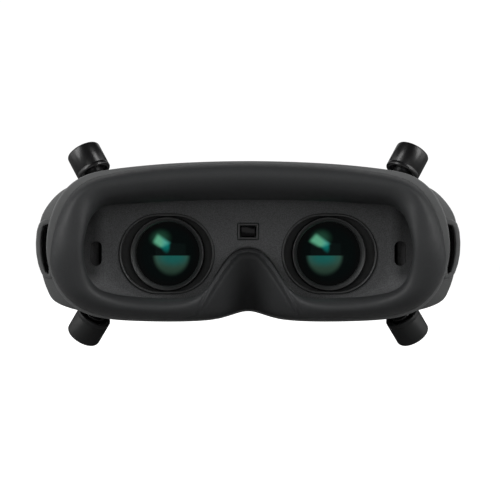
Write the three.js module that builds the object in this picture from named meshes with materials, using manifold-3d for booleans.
// FPV goggles: a housing with two sliding, focusing eyepieces, a foam face cushion,
// strap loops and four stub antennas. Millimetres, +X to the wearer's right, +Y away
// from the wearer, +Z up. The origin is the middle of the front cover's outer face, at
// the height of the lens axes. Pieces are drawn with y = 0 at the lens rings' plane,
// and the whole assembly is then moved back by FRONT_Y.
import * as THREE from "three";
import { mergeVertices } from "three/addons/utils/BufferGeometryUtils.js";
import Module from "manifold-3d";

const wasm = await Module();
wasm.setup();

// ---------------------------------------------------------------- driving dimensions
const FRONT_Y = 58;          // lens ring plane to the front cover's outer face
const GAP = 0.3;             // clearance between neighbouring pieces
const EYE_X = 32.1;          // rest position of each lens axis
const OPEN_X = 32.25;        // centre of each opening in the eye plate
const RING_R = 14.5;         // lens ring outside radius
const BORE_R = RING_R + 0.4; // barrel bore and shutter hole round the ring
const LENS_R = 12.5;         // clear lens radius
const OPEN_R = 14.95;        // opening: end radius
const OPEN_HALF = 3.05;      // opening: half distance between end centres
const LIP = 0.85;            // wall of the lens surround
const PLATE_Y = 1.0;         // eye plate's flat face
const PLATE_T = 1.6;         // eye plate thickness
const FRAME_T = 2.2;         // cushion frame thickness
const WALL = 1.8;            // housing wall
const NOSE_DIP = 0.9;        // extra clearance between foam and frame at the nose
const SHELL_Y0 = -9.2;       // rear shell's rim
const FLARE_Y = 19.5;        // where the flare behind the strap loops begins
const SEAM_Y = 40;           // seam between rear and front shells
const KNOB_Y = 26;           // adjusting knobs' axis
const CONTROL_Y = 30;        // row of buttons and joystick on the top
const PORT_X = 26;           // ports in the floor, left and right of the middle
const DC_JACK_Y = 46.6;
const RAIL_Y = 12;           // rails that carry the eyepieces
const RAILS = [
  { name: "rail_upper", z: 19.5, halfLength: 62 },
  { name: "rail_lower", z: -18.7, halfLength: 56 },
];
const SIDES = [["right", 1], ["left", -1]];

// Right-hand antennas: base point of the cap, axis, and seat depth below the base.
const ANTENNAS = [
  { name: "upper", base: [63.7, 35.0, 33.5], axis: [0.46, 0.32, 0.83], seat: 4.9 },
  { name: "lower", base: [63.3, 32.0, -25.2], axis: [0.48, 0.42, -0.77], seat: 0.9 },
];
const CAP_R = 7.2;           // antenna cap radius
const CAP_L = 11.5;          // antenna cap length

// Stations round half of the face cushion, from the top centre to the bottom centre:
// outer edge x, z; inner edge x, z.
const STATIONS = [
  [0, 35.4, 0, 20.9], [12.4, 35.2, 11, 20.85], [26.3, 34.7, 22.5, 20.6], [40.1, 33.7, 34, 20.2],
  [50.5, 32.4, 44.5, 19.3], [59.4, 31, 51.8, 19], [65.2, 28.6, 56.2, 18], [69.8, 24.8, 59, 16.2],
  [73.2, 19.9, 61.2, 13.4], [75.7, 14.1, 62.6, 9.8], [77.1, 8, 63.5, 5.8], [77.5, 2, 63.9, 1.5],
  [76.9, -3.2, 63.5, -3.2], [75.3, -8.5, 62, -8.1], [72.7, -13.6, 59.6, -12],
  [68.9, -18.4, 56, -14.4], [63, -22.4, 50.8, -15.7], [55, -24.4, 44, -16.6],
  [45.5, -25.2, 36.5, -17], [36, -25.6, 29.5, -17.4], [28, -25.7, 24, -17.4],
  [21.5, -25.6, 19.8, -16], [16.5, -25.4, 16.0, -13.7], [12.3, -25, 12.8, -9],
  [8.6, -24.1, 9.8, -4.4], [5.4, -23.1, 6.7, -0.35], [2.7, -22.3, 3.4, 1.55], [0, -22, 0, 2.05],
];
const LAST = STATIONS.length - 1;
const NOSE_START = 18;       // station where the nose notch begins

// Cushion section at key stations: [station, U[10], Y[10]], U from the outer edge (0) to
// the inner edge (1), Y along the wearer's line of sight.
const SECTIONS = [
  [0, [0, 0.02, 0.07, 0.16, 0.30, 0.52, 0.76, 0.95, 1.0, 0.97],
    [-12, -15.5, -19, -21.8, -23.4, -23.0, -20.2, -16.2, -14, -12]],
  [5, [0, 0.02, 0.08, 0.17, 0.32, 0.56, 0.82, 0.96, 1.0, 0.97],
    [-12, -18, -24, -28, -30, -29.6, -26.6, -21.5, -17, -12]],
  [8, [0, 0.03, 0.09, 0.18, 0.33, 0.60, 0.87, 0.975, 1.0, 0.97],
    [-12, -18, -24.8, -29.8, -33.0, -34.2, -32.8, -29.2, -20, -12]],
  [11, [0, 0.03, 0.09, 0.18, 0.34, 0.62, 0.88, 0.975, 1.0, 0.97],
    [-12, -18.5, -25.5, -31, -34.4, -36, -35, -31.6, -22, -12]],
  [15, [0, 0.03, 0.10, 0.20, 0.36, 0.62, 0.87, 0.975, 1.0, 0.97],
    [-12, -17.5, -23.5, -28.6, -31.8, -33, -31, -27, -19, -12]],
  [18, [0, 0.04, 0.11, 0.22, 0.40, 0.64, 0.87, 0.98, 1.0, 0.96],
    [-12, -16.5, -21, -24.6, -26.8, -26.6, -23.4, -18.8, -15, -12]],
  [20, [0, 0.03, 0.10, 0.21, 0.39, 0.64, 0.87, 0.98, 1.0, 0.95],
    [-11, -14.6, -18.4, -21.4, -23.6, -24, -22.2, -18.6, -14, -10]],
  [22, [0, 0.02, 0.06, 0.16, 0.37, 0.64, 0.90, 0.985, 1.0, 0.95],
    [-5, -8, -10.6, -13.6, -16.8, -18.4, -18.2, -16.8, -10, -1.4]],
  [24, [0, 0.0, 0.03, 0.14, 0.36, 0.64, 0.93, 0.99, 1.0, 0.96],
    [1.5, -0.8, -2.6, -5.6, -9.0, -11.6, -12.8, -12.0, -8, 0.2]],
  [27, [0, 0.0, 0.02, 0.14, 0.36, 0.64, 0.945, 0.99, 1.0, 0.97],
    [5, 3.2, 1.8, -0.4, -3.4, -6.2, -8.0, -7.4, -4.5, 0.4]],
];
// Edge of the eye plate's flat part: x, z for each station up to the nose arch.
const FLAT = [
  [0, 18.7], [11, 18.7], [22.5, 18.5], [34, 18.2], [43, 17.3], [48, 15.6], [50.8, 13.6],
  [52.3, 11.4], [53.2, 9], [53.8, 6.5], [54.1, 4], [54.2, 1], [54.1, -2], [53.6, -5.5],
  [52.3, -9], [50, -12.3], [46.5, -15.0], [41.5, -17.0], [35.8, -18.0], [29.8, -18.2],
  [25.2, -17.9], [21.4, -16.6],
];
// y of the eye plate's rim at each station.
const PLATE_RIM_Y = [
  -9, -9, -9, -9, -9, -9, -9, -9, -9, -9, -9, -9, -9, -9, -9, -9, -9, -8.8,
  -8, -6.5, -4.5, -2, 0, 0.8, 0.9, 0.9, 0.9, 0.9,
];
// Flared outline of the housing behind the strap loops: x, z for each station.
const FLARE = [
  [0, 34.5], [12.4, 34.4], [26.3, 34.0], [40.1, 33.3], [50.5, 32.6], [60.5, 31.6],
  [68, 29.6], [75.2, 26.4], [80.5, 21.5], [84.5, 15], [85.2, 8], [85.2, 2], [84.8, -4],
  [83.4, -10.4], [81.5, -15.5], [78.8, -19.6], [70.2, -22.9], [58, -24.6], [47, -25.2],
  [36, -25.2], [28, -25.2], [21.5, -25.2], [16.5, -25.2], [12.3, -25.1], [8.6, -24.6],
  [5.4, -23.3], [2.7, -22.5], [0, -22.2],
];
// Stations that the eye plate and the housings are built on.
const PLATE_STATIONS = [
  0, 2, 4, 5, 6, 7, 9, 11, 13, 14, 15, 16, 17, 18, 19, 20, 21, 22, 24, 26, 27,
];
const HOUSING_STATIONS = [0, 3, 5, 6, 7, 8, 9, 11, 13, 14, 15, 16, 17, 19, 23, 24, 25, 27];

// ---------------------------------------------------------------- materials
const material = ({ color, roughness, metalness = 0 }) =>
  new THREE.MeshStandardMaterial({ color, roughness, metalness });
const mats = {
  foam: material({ color: 0x37383a, roughness: 0.9 }),
  shell: material({ color: 0x3c3d3e, roughness: 0.62 }),
  plate: material({ color: 0x343536, roughness: 0.8 }),
  ring: material({ color: 0x26282a, roughness: 0.45 }),
  frame: material({ color: 0x2c2d2e, roughness: 0.4 }),
  gloss: material({ color: 0x0b0b0c, roughness: 0.12 }),
  lens: material({ color: 0x0c1c1c, roughness: 0.02 }),
  steel: material({ color: 0xb0b2b4, roughness: 0.3, metalness: 1 }),
  board: material({ color: 0x14351f, roughness: 0.5 }),
  alu: material({ color: 0x9a9c9e, roughness: 0.4, metalness: 1 }),
  black: material({ color: 0x101112, roughness: 0.5 }),
  gold: material({ color: 0xb9933e, roughness: 0.3, metalness: 1 }),
  cover: material({ color: 0x18191a, roughness: 0.35 }),
  display: material({ color: 0x0a0f14, roughness: 0.15 }),
};

// ---------------------------------------------------------------- scene
const goggles = new THREE.Group();
goggles.name = "fpv_goggles";
const assembly = new THREE.Group();
assembly.position.set(0, -FRONT_Y, 0);
goggles.add(assembly);

function add(name, geometry, surface, parent = assembly) {
  const mesh = new THREE.Mesh(geometry, surface);
  mesh.name = name;
  parent.add(mesh);
}

// ---------------------------------------------------------------- solids
const vec = (x, y, z) => new THREE.Vector3(x, y, z);

// Points only, with coincident ones merged.
function welded(geometry) {
  const bare = geometry.clone();
  bare.deleteAttribute("normal");
  bare.deleteAttribute("uv");
  return mergeVertices(bare, 1e-4);
}
function toSolid(geometry) {
  const closed = welded(geometry);
  return new wasm.Manifold(new wasm.Mesh({
    numProp: 3,
    vertProperties: new Float32Array(closed.attributes.position.array),
    triVerts: new Uint32Array(closed.index.array),
  }));
}
function toGeometry(solid) {
  const mesh = solid.getMesh();
  const geometry = new THREE.BufferGeometry();
  const points = new Float32Array(mesh.vertProperties);
  geometry.setAttribute("position", new THREE.BufferAttribute(points, 3));
  geometry.setIndex(new THREE.BufferAttribute(new Uint32Array(mesh.triVerts), 1));
  return geometry;
}
// minus and plus work on a solid and a list of geometries; cut and join on geometries.
const minus = (solid, tools) => tools.reduce((rest, tool) => rest.subtract(toSolid(tool)), solid);
const plus = (solid, parts) => parts.reduce((sum, part) => sum.add(toSolid(part)), solid);
const cut = (body, ...tools) => toGeometry(minus(toSolid(body), tools));
const join = (body, ...parts) => toGeometry(plus(toSolid(body), parts));
const at = (geometry, x, y, z) => geometry.translate(x, y, z);

function volume(geometry) {
  const points = geometry.attributes.position;
  const index = geometry.index;
  const corner = (i) => vec().fromBufferAttribute(points, index.getX(i));
  let total = 0;
  for (let i = 0; i < index.count; i += 3) {
    total += corner(i).dot(corner(i + 1).cross(corner(i + 2))) / 6;
  }
  return total;
}
// Turns the faces over if they point inwards.
function outward(geometry) {
  if (volume(geometry) < 0) {
    const index = geometry.index.array;
    for (let i = 0; i < index.length; i += 3) {
      [index[i], index[i + 1]] = [index[i + 1], index[i]];
    }
  }
  return geometry;
}
// Rings of equal point counts joined into one closed surface. A closed loft joins the last
// ring to the first; an open one is capped.
function loft(rings, closed) {
  const count = rings[0].length;
  const index = [];
  const steps = closed ? rings.length : rings.length - 1;
  for (let k = 0; k < steps; k++) {
    const a = k * count;
    const b = ((k + 1) % rings.length) * count;
    for (let i = 0; i < count; i++) {
      const j = (i + 1) % count;
      index.push(a + i, b + i, b + j, a + i, b + j, a + j);
    }
  }
  if (!closed) {
    const capFaces = (points) => THREE.ShapeUtils.triangulateShape(
      points.map((p) => new THREE.Vector2(p.x, p.z)), []);
    const last = (rings.length - 1) * count;
    for (const [a, b, c] of capFaces(rings[0])) index.push(c, b, a);
    for (const [a, b, c] of capFaces(rings[rings.length - 1])) {
      index.push(last + a, last + b, last + c);
    }
  }
  const points = rings.flat().flatMap((p) => [p.x, p.y, p.z]);
  const geometry = new THREE.BufferGeometry();
  geometry.setAttribute("position", new THREE.BufferAttribute(new Float32Array(points), 3));
  geometry.setIndex(index);
  return outward(geometry);
}

// Cylinders along each axis, from one end to the other.
function cylY(radius, y0, y1, segments) {
  return at(new THREE.CylinderGeometry(radius, radius, y1 - y0, segments, 1), 0, (y0 + y1) / 2, 0);
}
function cylZ(radius, z0, z1, segments) {
  const cylinder = new THREE.CylinderGeometry(radius, radius, z1 - z0, segments, 1);
  return at(cylinder.rotateX(Math.PI / 2), 0, 0, (z0 + z1) / 2);
}
function cylX(radius, x0, x1, segments) {
  const cylinder = new THREE.CylinderGeometry(radius, radius, x1 - x0, segments, 1);
  return at(cylinder.rotateZ(Math.PI / 2), (x0 + x1) / 2, 0, 0);
}
// Box between two corners; each pair may come in either order.
function box(x0, x1, y0, y1, z0, z1) {
  const block = new THREE.BoxGeometry(Math.abs(x1 - x0), Math.abs(y1 - y0), Math.abs(z1 - z0));
  return at(block, (x0 + x1) / 2, (y0 + y1) / 2, (z0 + z1) / 2);
}
// Profiles of [radius, y] turned about +Y: a solid that starts and ends on the axis, and a
// ring whose profile closes on itself.
function turnSolid(profile, segments) {
  const points = profile.map(([r, y]) => new THREE.Vector2(r, y));
  return outward(welded(new THREE.LatheGeometry(points, segments)));
}
const turnRing = (profile, segments) => turnSolid([...profile, profile[0]], segments);

// ---------------------------------------------------------------- outlines and shapes
const lerp = (a, b, t) => a + (b - a) * t;

// Half outline (x >= 0, top to bottom) mirrored to a closed ring.
function ring(half) {
  const mirrored = half.slice(1, -1).reverse().map((p) => vec(-p.x, p.y, p.z));
  return [...half, ...mirrored];
}
// Moves a half outline inwards; its end points stay on the middle plane.
function inset(half, distance) {
  const last = half.length - 1;
  return half.map(([x, z], i) => {
    const before = half[Math.max(i - 1, 0)];
    const after = half[Math.min(i + 1, last)];
    const dx = after[0] - before[0];
    const dz = i === 0 || i === last ? 0 : after[1] - before[1];
    const length = Math.hypot(dx, dz);
    return [x + (dz / length) * distance, z - (dx / length) * distance];
  });
}
const vectors = (points) => points.map(([x, y]) => new THREE.Vector2(x, y));

// Slot with round ends, halfSpan from its middle to each end's centre.
function stadium(radius, halfSpan, upright = false) {
  const shape = new THREE.Shape();
  const x = upright ? 0 : halfSpan;
  const y = upright ? halfSpan : 0;
  const start = upright ? 0 : -Math.PI / 2;
  shape.absarc(x, y, radius, start, start + Math.PI, false);
  shape.absarc(-x, -y, radius, start + Math.PI, start + Math.PI * 2, false);
  return shape;
}
function roundRect(width, height, radius) {
  const shape = new THREE.Shape();
  const x = width / 2 - radius;
  const y = height / 2 - radius;
  [[x, y], [-x, y], [-x, -y], [x, -y]].forEach(([cx, cy], k) => {
    shape.absarc(cx, cy, radius, k * Math.PI / 2, (k + 1) * Math.PI / 2, false);
  });
  return shape;
}
// A shape drawn in x, y and extruded along +Z.
function alongZ(shape, z0, z1, curveSegments = 8) {
  const options = { depth: z1 - z0, bevelEnabled: false, curveSegments };
  return at(new THREE.ExtrudeGeometry(shape, options), 0, 0, z0);
}
// A shape drawn in x, z and extruded along +Y.
function alongY(shape, y0, y1, curveSegments = 8) {
  return at(alongZ(shape, 0, y1 - y0, curveSegments).rotateX(Math.PI / 2), 0, y1, 0);
}

// ---------------------------------------------------------------- cushion and frame
// Cushion section at any station, as [u, y] pairs.
function section(station) {
  let k = 0;
  while (k < SECTIONS.length - 2 && SECTIONS[k + 1][0] <= station) k++;
  const [station0, u0, y0] = SECTIONS[k];
  const [station1, u1, y1] = SECTIONS[k + 1];
  const t = (station - station0) / (station1 - station0);
  return u0.map((u, j) => [lerp(u, u1[j], t), lerp(y0[j], y1[j], t)]);
}
const SECTION_POINTS = SECTIONS[0][1].length;
const BASE_INNER = SECTION_POINTS - 1;   // section point at the base's inner edge
const OUTER = STATIONS.map(([x, z]) => [x, z]);
// y of the cushion's base at each station: outer edge, inner edge.
const BASE_Y = STATIONS.map((_, i) => [section(i)[0][1], section(i)[BASE_INNER][1]]);

// One closed foam ring with the nose channel.
function faceCushion() {
  const loops = [];
  for (let j = 0; j < SECTION_POINTS; j++) {
    loops.push(ring(STATIONS.map(([outX, outZ, inX, inZ], i) => {
      const [u, y] = section(i)[j];
      return vec(lerp(outX, inX, u), y, lerp(outZ, inZ, u));
    })));
  }
  add("face_cushion", loft(loops, true), mats.foam);
}

// Plastic ring under the foam, slightly proud of it.
function cushionFrame() {
  const innerU = 0.66;
  const proud = 0.8;
  const rim = inset(OUTER, -proud);
  const frameY = (i, u) => lerp(...BASE_Y[i], u) + GAP + (i > NOSE_START ? NOSE_DIP : 0);
  const outer = (dy) => ring(rim.map(([x, z], i) => vec(x, frameY(i, 0) + dy, z)));
  const inner = (dy) => ring(STATIONS.map(([outX, outZ, inX, inZ], i) => {
    const y = frameY(i, innerU / section(i)[BASE_INNER][0]) + dy;
    return vec(lerp(outX, inX, innerU), y, lerp(outZ, inZ, innerU));
  }));
  const loops = [outer(0), inner(0), inner(FRAME_T), outer(FRAME_T)];
  add("cushion_frame", loft(loops, true), mats.frame);
}

// ---------------------------------------------------------------- eye plate
const SENSOR = { width: 8.2, height: 6.4, wall: 0.9, z: 8.9 };
const VENT = { x: 60.1, z: 0.15, slotR: 2.2, grilleR: 3.0, halfSpan: 2.7, tilt: 0.50 };

// Flat middle, walls that curve up to the cushion, flange to the shell.
function eyePlate() {
  const places = PLATE_STATIONS.map((i) => {
    const [outX, outZ, inX, inZ] = STATIONS[i];
    const width = Math.hypot(outX - inX, outZ - inZ);
    // point at a distance outwards from the cushion's inner edge
    const outwards = (distance) => [
      inX + (outX - inX) / width * distance,
      inZ + (outZ - inZ) / width * distance,
    ];
    const rimY = PLATE_RIM_Y[i];
    if (i >= FLAT.length) {
      return { rimY, flat: outwards(-0.8), rim: outwards(0.6), flange: outwards(1.4) };
    }
    const flange = outwards(width - Math.min(4.2, width * 0.55));
    return { rimY, flat: FLAT[i], rim: outwards(2), flange };
  });
  const wallSteps = [0, 0.12, 0.4, 1];   // from the rim (0) to the flat (1)
  const wallRing = (step, dy) => ring(places.map(({ rimY, flat, rim }) => {
    const y = lerp(rimY, PLATE_Y, Math.sqrt(1 - (1 - step) * (1 - step)));
    return vec(lerp(rim[0], flat[0], step), y + dy, lerp(rim[1], flat[1], step));
  }));
  const face = (dy) => [
    ring(places.map(({ rimY, flange }) => vec(flange[0], rimY + dy, flange[1]))),
    ...wallSteps.map((step) => wallRing(step, dy)),
  ];
  const opening = (x) =>
    at(alongY(stadium(OPEN_R + LIP + 0.25, OPEN_HALF), -5, 8, 6), x, 0, 0);
  const sensorHole = roundRect(SENSOR.width + 2 * GAP, SENSOR.height + 2 * GAP, 0.5);
  const ventSlot = (x) =>
    at(alongY(stadium(VENT.slotR, VENT.halfSpan, true), -14, 8, 3), x, 0, VENT.z);
  add("eye_plate", cut(
    loft([...face(0).reverse(), ...face(PLATE_T)], false),
    opening(OPEN_X), opening(-OPEN_X),
    at(alongY(sensorHole, -5, 8, 2), 0, 0, SENSOR.z),
    ventSlot(VENT.x), ventSlot(-VENT.x),
  ), mats.plate);
}

// Lipped insert round an eyepiece.
function lensSurround([name, side]) {
  const shape = stadium(OPEN_R + LIP, OPEN_HALF);
  shape.holes.push(stadium(OPEN_R, OPEN_HALF));
  add(`lens_surround_${name}`, at(alongY(shape, 0.2, 3.2, 6), side * OPEN_X, 0, 0), mats.ring);
}

function proximitySensor() {
  const { width, height, wall, z } = SENSOR;
  const insideWidth = width - 2 * wall;
  const insideHeight = height - 2 * wall;
  const bezel = roundRect(width, height, 0.4);
  bezel.holes.push(roundRect(insideWidth, insideHeight, 0.3));
  add("proximity_bezel", at(alongY(bezel, 0.5, 3.2, 2), 0, 0, z), mats.ring);
  const pane = roundRect(insideWidth - 2 * GAP, insideHeight - 2 * GAP, 0.25);
  add("proximity_window", at(alongY(pane, 1.4, 3.0, 2), 0, 0, z), mats.gloss);
}

// Plain backing behind the slot in the chamber's side wall.
function ventGrille([name, side]) {
  const grille = alongY(stadium(VENT.grilleR, VENT.halfSpan, true), 0, 0.8, 4);
  grille.rotateZ(-side * VENT.tilt);
  add(`vent_grille_${name}`, at(grille, side * VENT.x, 2.1, VENT.z), mats.black);
}

// ---------------------------------------------------------------- housing
const scaled = (half, scaleX, scaleZ) => half.map(([x, z]) => [x * scaleX, z * scaleZ]);
// Takes the floor's height from the flared outline, from the given station on.
const withFloor = (half, first, floorZ = (z) => z) =>
  half.map(([x, z], i) => [x, i >= first ? floorZ(FLARE[i][1]) : z]);
const ringAt = (half, y) => ring(HOUSING_STATIONS.map((i) => vec(half[i][0], y, half[i][1])));

const RIM_OUTLINE = withFloor(inset(OUTER, 0.5), 20, (z) => z + 0.6);
const BODY_OUTLINE = withFloor(inset(OUTER, 0.1), 18);
const SEAM_OUTLINE = withFloor(scaled(FLARE, 0.965, 0.97), 18);
const SHOULDER_OUTLINE = withFloor(scaled(FLARE, 0.91, 0.93), 18, (z) => Math.max(z, -24));
const FRONT_OUTLINE = scaled(FLARE, 0.83, 0.84);

// Screw posts: radius, half thickness of the web to the side wall, screw bore.
const POST = { radius: 4.2, halfWeb: 1.2, bore: 1.5 };
const POST_PLACES = SIDES.flatMap(([, side]) => [[side * 74.5, 13], [side * 73.5, -11]]);

const BUTTONS = [["power_button", -40], ["record_button", 20], ["back_button", 31]];
const BUTTON_R = 3.0;
const JOYSTICK = { x: 44, z: 27.2, holeR: 4.6 };
const KNOB = { radius: 6.4, slotR: 6.9, slotHalf: 3.75 };
const PORT_COVER = { halfWidth: 9, y0: 42.9, y1: 49.5 };

const antennaBase = ({ base: [x, y, z] }, side) => vec(side * x, y, z);
const antennaAxis = ({ axis: [x, y, z] }, side) => vec(side * x, y, z).normalize();
const turnFrom = (from, to) => new THREE.Quaternion().setFromUnitVectors(from, to);

// Blocks standing on an antenna's seat planes, sunk by depth; they cut the flat seats.
function seatCuts(antenna, depth) {
  return SIDES.map(([, side]) => {
    const axis = antennaAxis(antenna, side);
    const foot = antennaBase(antenna, side).addScaledVector(axis, -antenna.seat - depth);
    const block = box(-40, 40, -40, 40, 0, 40).applyQuaternion(turnFrom(vec(0, 0, 1), axis));
    return at(block, foot.x, foot.y, foot.z);
  });
}
// Outer solid, and the wall left when the inner one is taken out, both with antenna seats.
function housing(outerRings, innerRings) {
  const seatWall = 2.6;
  const body = (rings, depth) => minus(
    toSolid(loft(rings.map(([half, y]) => ringAt(half, y)), false)),
    ANTENNAS.flatMap((antenna) => seatCuts(antenna, depth)));
  const outer = body(outerRings, 0);
  return [outer, outer.subtract(body(innerRings, seatWall))];
}
function jackHoles() {
  return ANTENNAS.flatMap((antenna) => SIDES.map(([, side]) => {
    const hole = cylY(3.4, -antenna.seat - 14, 2, 12);
    hole.applyQuaternion(turnFrom(vec(0, 1, 0), antennaAxis(antenna, side)));
    return at(hole, ...antennaBase(antenna, side).toArray());
  }));
}
// Posts, each with a web that reaches out to webX.
const posts = (y0, y1, webX) => POST_PLACES.flatMap(([x, z]) => [
  at(cylY(POST.radius, y0, y1, 10), x, 0, z),
  box(x, Math.sign(x) * webX, y0, y1, z - POST.halfWeb, z + POST.halfWeb),
]);
const postHoles = (radius, y0, y1, segments) =>
  POST_PLACES.map(([x, z]) => at(cylY(radius, y0, y1, segments), x, 0, z));

// Nose notch in the floor, following the cushion frame.
function noseNotch() {
  const edge = STATIONS.slice(NOSE_START).map(([x], k) => {
    const [outerY, innerY] = BASE_Y[NOSE_START + k];
    const foamY = Math.max(outerY, lerp(outerY, innerY, 0.35));
    return [x + 0.4, foamY + FRAME_T + GAP + NOSE_DIP + 0.5];
  });
  const middle = [0, edge.pop()[1]];
  const leftEdge = edge.map(([x, y]) => [-x, y]);
  const points = [[-46, -20], ...leftEdge, middle, ...edge.reverse(), [46, -20]];
  return alongZ(new THREE.Shape(vectors(points)), -32, -16);
}

function rearShell() {
  const rings = [
    [RIM_OUTLINE, SHELL_Y0], [BODY_OUTLINE, 0], [BODY_OUTLINE, FLARE_Y],
    [FLARE, FLARE_Y + 2.5], [SEAM_OUTLINE, SEAM_Y],
  ];
  // the inner solid runs past both open ends
  const overrun = [-1, 0, 0, 0, 1];
  const innerRings = rings.map(([half, y], k) => [inset(half, WALL), y + overrun[k]]);
  const [outer, wall] = housing(rings, innerRings);
  const knobSlots = SIDES.map(([, side]) =>
    at(alongZ(stadium(KNOB.slotR, KNOB.slotHalf), -32, -20, 5), side * OPEN_X, KNOB_Y, 0));
  const buttonHoles = BUTTONS.map(([, x]) =>
    at(cylZ(BUTTON_R + GAP, 28, 45, 12), x, CONTROL_Y, 0));
  const shell = minus(plus(wall, posts(30, SEAM_Y, 84)).intersect(outer), [
    ...jackHoles(),
    ...postHoles(POST.bore, 31.5, 60, 8),
    noseNotch(),
    ...knobSlots,
    ...buttonHoles,
    at(cylZ(JOYSTICK.holeR, 28, 45, 14), JOYSTICK.x, CONTROL_Y, 0),
  ]);
  add("rear_shell", toGeometry(shell), mats.shell);
}

function frontShell() {
  const [outer, wall] = housing([
    [SEAM_OUTLINE, SEAM_Y + GAP], [SHOULDER_OUTLINE, 50], [FRONT_OUTLINE, 56.5],
  ], [
    [inset(SEAM_OUTLINE, WALL), SEAM_Y],
    [inset(SHOULDER_OUTLINE, WALL + 0.4), 50],
    [inset(FRONT_OUTLINE, 3.4), 54.6],
  ]);
  const seat = inset(FRONT_OUTLINE, 4.2);
  const coverSeat = loft([ringAt(seat, 52), ringAt(seat, 60)], false);
  const body = plus(minus(wall, [coverSeat]), posts(SEAM_Y + GAP, 47, 81)).intersect(outer);
  const { halfWidth, y0, y1 } = PORT_COVER;
  const halfOpening = halfWidth + GAP;
  const shell = minus(body, [
    ...postHoles(POST.bore, 30, 60, 8),
    ...postHoles(2.5, 44.5, 60, 10),   // screw heads
    at(cylZ(4.4, -32, -15, 12), -PORT_X, DC_JACK_Y, 0),
    box(PORT_X - halfOpening, PORT_X + halfOpening, y0 - GAP, y1 + GAP, -32, -15),
  ]);
  add("front_shell", toGeometry(shell), mats.shell);
}

// Front cover with its long slots and a stack of short ones on each side.
function frontCover() {
  const side = inset(FRONT_OUTLINE, 4.6);
  const face = inset(FRONT_OUTLINE, 5.4);
  const slot = (radius, halfSpan, x, z) =>
    at(alongY(stadium(radius, halfSpan), 50, 60, 2), x, 0, z);
  // z and half span of each long slot
  const longSlots = [[-9.6, 9], [-5.2, 13], [5.2, 14.5], [9.6, 14], [14.0, 11.5]];
  const shortSlots = SIDES.flatMap(([, sign]) =>
    [0, 1, 2].map((k) => slot(1.1, 7, sign * 46, -6 + k * 4.4)));
  add("front_cover", cut(
    loft([ringAt(side, 55.2), ringAt(side, 57.4), ringAt(face, FRONT_Y)], false),
    ...longSlots.map(([z, halfSpan]) => slot(1.2, halfSpan, 0, z)),
    ...shortSlots,
  ), mats.cover);
}

// Case screws, seated in the front shell's posts.
function caseScrews() {
  const profile = [[0, 33], [1.1, 33], [1.1, 44.8], [2.1, 44.8], [2.1, 46.6], [0, 46.6]];
  POST_PLACES.forEach(([x, z], k) => {
    add(`case_screw_${k + 1}`, at(turnSolid(profile, 10), x, 0, z), mats.steel);
  });
}

// Right strap loop: outside and inside outlines, x, z.
const LOOP_OUTSIDE = [
  [77.8, 13.5], [80.8, 13.9], [83.1, 12.4], [84.1, 9.2], [84.5, 4.5],
  [84.3, 0.0], [83.5, -4.2], [82.3, -7.6], [80.9, -9.7], [77.8, -10.2],
];
const LOOP_INSIDE = [
  [79.5, -8.0], [80.7, -7.0], [81.8, -3.8], [82.5, 0.1], [82.7, 4.4],
  [82.4, 8.4], [81.5, 11.2], [79.5, 11.8],
];
function strapLoop([name, side]) {
  const shape = new THREE.Shape(vectors(scaled(LOOP_OUTSIDE, side, 1)));
  shape.holes.push(new THREE.Path(vectors(scaled(LOOP_INSIDE, side, 1))));
  add(`strap_loop_${name}`, alongY(shape, 4, FLARE_Y - 4, 1), mats.shell);
}

// ---------------------------------------------------------------- eyepieces
// Barrel with its rail bosses and the display seat.
function lensBarrel() {
  const outerR = 16.5;
  const tube = turnRing([
    [BORE_R, 5.9], [outerR, 5.9], [outerR, 30], [10, 30], [10, 27.8], [BORE_R, 25],
  ], 18);
  const bosses = RAILS.map(({ z }) => {
    const up = Math.sign(z);
    return box(-9, 9, RAIL_Y - 2.4, RAIL_Y + 2.4, up * 15.5, z + up * 2.3);
  });
  const railBores = RAILS.map(({ z }) => at(cylX(1.6, -20, 20, 8), 0, RAIL_Y, z));
  return toGeometry(minus(plus(toSolid(tube), bosses), [cylY(BORE_R, 3, 25, 18), ...railBores]));
}
// Shutter plate filling the opening round the ring.
function slideShutter() {
  const shape = stadium(16.4, 5.4);
  const hole = new THREE.Path();
  hole.absarc(0, 0, BORE_R, 0, Math.PI * 2, true);
  shape.holes.push(hole);
  return alongY(shape, 4.7, 5.5, 8);
}
const LENS_CELL_PROFILE = [
  [LENS_R + 0.2, 7.6], [13.9, 0.3], [RING_R - 0.4, 0], [RING_R, 0.4],
  [RING_R, 18], [13.4, 18], [13.4, 8.2], [LENS_R + 0.2, 8.0],
];
const LENS_PROFILE = [
  [0, 6.2], [4.4, 6.6], [8.4, 7.4], [11.5, 8.5], [13.1, 8.5], [13.1, 12.4], [9.5, 14.4], [0, 16.2],
];
// Dust shutter round the knob's stem.
function knobShutter() {
  const plate = at(alongZ(roundRect(33, 17, 2), -22.4, -21.6, 2), 0, KNOB_Y, 0);
  return cut(plate, at(cylZ(2.6, -30, -15, 14), 0, KNOB_Y, 0));
}
function adjustKnob() {
  const knob = join(cylZ(KNOB.radius, -27.6, -23.5, 20), cylZ(2.2, -23.6, -17.0, 12));
  return at(knob, 0, KNOB_Y, 0);
}
function eyepiece([name, side]) {
  const eye = new THREE.Group();
  eye.position.set(side * EYE_X, 0, 0);
  assembly.add(eye);
  add(`slide_shutter_${name}`, slideShutter(), mats.black, eye);
  add(`lens_barrel_${name}`, lensBarrel(), mats.black, eye);
  add(`lens_cell_${name}`, turnRing(LENS_CELL_PROFILE, 18), mats.ring, eye);
  add(`eye_lens_${name}`, turnSolid(LENS_PROFILE, 18), mats.lens, eye);
  add(`microdisplay_${name}`, box(-9.2, 9.2, 30.4, 32.4, -6.2, 6.2), mats.display, eye);
  add(`knob_shutter_${name}`, knobShutter(), mats.black, eye);
  add(`adjust_knob_${name}`, adjustKnob(), mats.black, eye);
}
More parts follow.
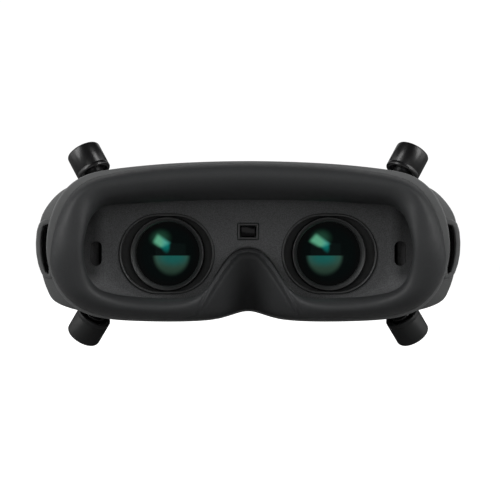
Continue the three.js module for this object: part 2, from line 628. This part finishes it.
function rail({ name, z, halfLength }) {
  add(name, at(cylX(1.25, -halfLength, halfLength, 10), 0, RAIL_Y, z), mats.steel);
}

// ---------------------------------------------------------------- electronics
function mainBoard() {
  const hole = (x) => at(cylY(1.6, 30, 44, 8), x, 0, 20);
  add("main_board", cut(box(-50, 50, 36.4, 38.0, -18, 24), hole(46), hole(-46)), mats.board);
}

// Base plate with five fins on each side of the fan.
function heatSink() {
  const z0 = -11;
  const z1 = 22;
  const halfFin = 0.6;
  const fins = [];
  for (let k = 0; k < 5; k++) {
    for (const [, side] of SIDES) {
      const x = side * (22 + k * 6);
      fins.push(box(x - halfFin, x + halfFin, 39.7, 45.5, z0, z1));
    }
  }
  add("heat_sink", join(box(-48, 48, 38.4, 39.8, z0, z1), ...fins), mats.alu);
}

const FAN = { z: 4, size: 32, depth: 8, y: 49.6, boreR: 14.6, hubR: 5, arms: 3, blades: 7 };
// Copies of a part spaced evenly round the Y axis.
const roundY = (count, make) =>
  Array.from({ length: count }, (_, k) => make().rotateY(k * Math.PI * 2 / count));

// Frame with a hub plate on its arms.
function fanFrame() {
  const arm = () => at(new THREE.BoxGeometry(12, 1, 1.6), 9.4, 46.1, 0);
  const block = at(new THREE.BoxGeometry(FAN.size, FAN.depth, FAN.size), 0, FAN.y, FAN.z);
  const frame = minus(toSolid(block), [at(cylY(FAN.boreR, 40, 60, 18), 0, 0, FAN.z)]);
  const hub = [cylY(FAN.hubR, 45.6, 46.6, 14), ...roundY(FAN.arms, arm)];
  const parts = hub.map((part) => at(part, 0, 0, FAN.z));
  add("fan_frame", toGeometry(plus(frame, parts)), mats.black);
}
function fanImpeller() {
  const pitch = 0.6;   // blade tilt, radians
  const blade = () => at(new THREE.BoxGeometry(9.6, 4.2, 0.8).rotateX(pitch), 9.0, 50.1, 0);
  const impeller = join(cylY(FAN.hubR, 47.0, 53.0, 14), ...roundY(FAN.blades, blade));
  add("fan_impeller", at(impeller, 0, 0, FAN.z), mats.black);
}

// Power jack, data port and the cover over it.
function ports() {
  const jack = cut(cylZ(4.0, -24.4, -13, 16), cylZ(2.9, -30, -16, 12));
  add("dc_jack", at(jack, -PORT_X, DC_JACK_Y, 0), mats.black);
  const usb = cut(
    box(-4.6, 4.6, 44.6, 47.8, -22.6, -15),
    box(-3.9, 3.9, 45.2, 47.2, -26, -16.5),
  );
  add("usb_port", at(usb, PORT_X, 0, 0), mats.steel);
  const { halfWidth, y0, y1 } = PORT_COVER;
  const cover = box(PORT_X - halfWidth, PORT_X + halfWidth, y0, y1, -25.0, -23.5);
  add("port_cover", cover, mats.black);
}

// ---------------------------------------------------------------- controls
// Turned profiles here are [radius, z] once stood upright.
const standUp = (geometry, x, y, z) => at(geometry.rotateX(Math.PI / 2), x, y, z);

function button([name, x]) {
  const top = 35.7;
  const flangeR = 4.2;
  const shape = turnSolid([
    [0, 29.4], [flangeR, 29.4], [flangeR, 30.4], [BUTTON_R, 30.4],
    [BUTTON_R, top - 0.4], [BUTTON_R - 0.4, top], [0, top],
  ], 16);
  add(name, standUp(shape, x, CONTROL_Y, 0), mats.ring);
}

function joystick() {
  const place = [JOYSTICK.x, CONTROL_Y, JOYSTICK.z];
  const ball = new THREE.SphereGeometry(2.6, 12, 8);
  const gimbal = cut(ball, alongZ(stadium(1.45, 0.7), -5, 5, 3));
  add("joystick_gimbal", at(gimbal, ...place), mats.black);
  const stem = turnSolid([[0, -2.4], [1.1, -2.4], [1.1, 5.4], [0, 5.4]], 10);
  add("joystick_stem", standUp(stem, ...place), mats.steel);
  const cap = turnRing([
    [1.4, 3.4], [2.6, 3.4], [2.8, 6.2], [3.6, 6.6], [3.6, 7.4],
    [2.4, 8.0], [0.01, 8.0], [0.01, 5.8], [1.4, 5.8],
  ], 14);
  add("joystick_cap", standUp(cap, ...place), mats.black);
}

// ---------------------------------------------------------------- antennas
// Each is drawn along +Y from its base, then turned onto its axis.
function antennaPieces(antenna, [sideName, side]) {
  const group = new THREE.Group();
  group.position.copy(antennaBase(antenna, side));
  group.quaternion.copy(turnFrom(vec(0, 1, 0), antennaAxis(antenna, side)));
  assembly.add(group);
  const suffix = `${antenna.name}_${sideName}`;
  const seatY = -antenna.seat;
  const cap = turnSolid([
    [0, 1.9], [5.4, 1.9], [5.7, 0], [CAP_R, 0.2],
    [CAP_R, CAP_L - 0.8], [CAP_R - 0.8, CAP_L], [0, CAP_L],
  ], 18);
  add(`antenna_cap_${suffix}`, cap, mats.gloss, group);
  const nut = turnRing([[3.5, seatY + 0.4], [4.1, seatY + 0.4], [4.1, 1.5], [3.5, 1.5]], 12);
  add(`antenna_nut_${suffix}`, nut, mats.gloss, group);
  const jack = turnSolid([[0, seatY - 8], [3.0, seatY - 8], [3.0, 0.6], [0, 0.6]], 12);
  add(`antenna_jack_${suffix}`, jack, mats.gold, group);
}

// ---------------------------------------------------------------- assembly
faceCushion();
cushionFrame();
eyePlate();
SIDES.forEach(lensSurround);
proximitySensor();
SIDES.forEach(ventGrille);
rearShell();
frontShell();
frontCover();
caseScrews();
SIDES.forEach(strapLoop);
SIDES.forEach(eyepiece);
RAILS.forEach(rail);
mainBoard();
heatSink();
fanFrame();
fanImpeller();
ports();
BUTTONS.forEach(button);
joystick();
for (const antenna of ANTENNAS) {
  SIDES.forEach((side) => antennaPieces(antenna, side));
}

export default goggles;
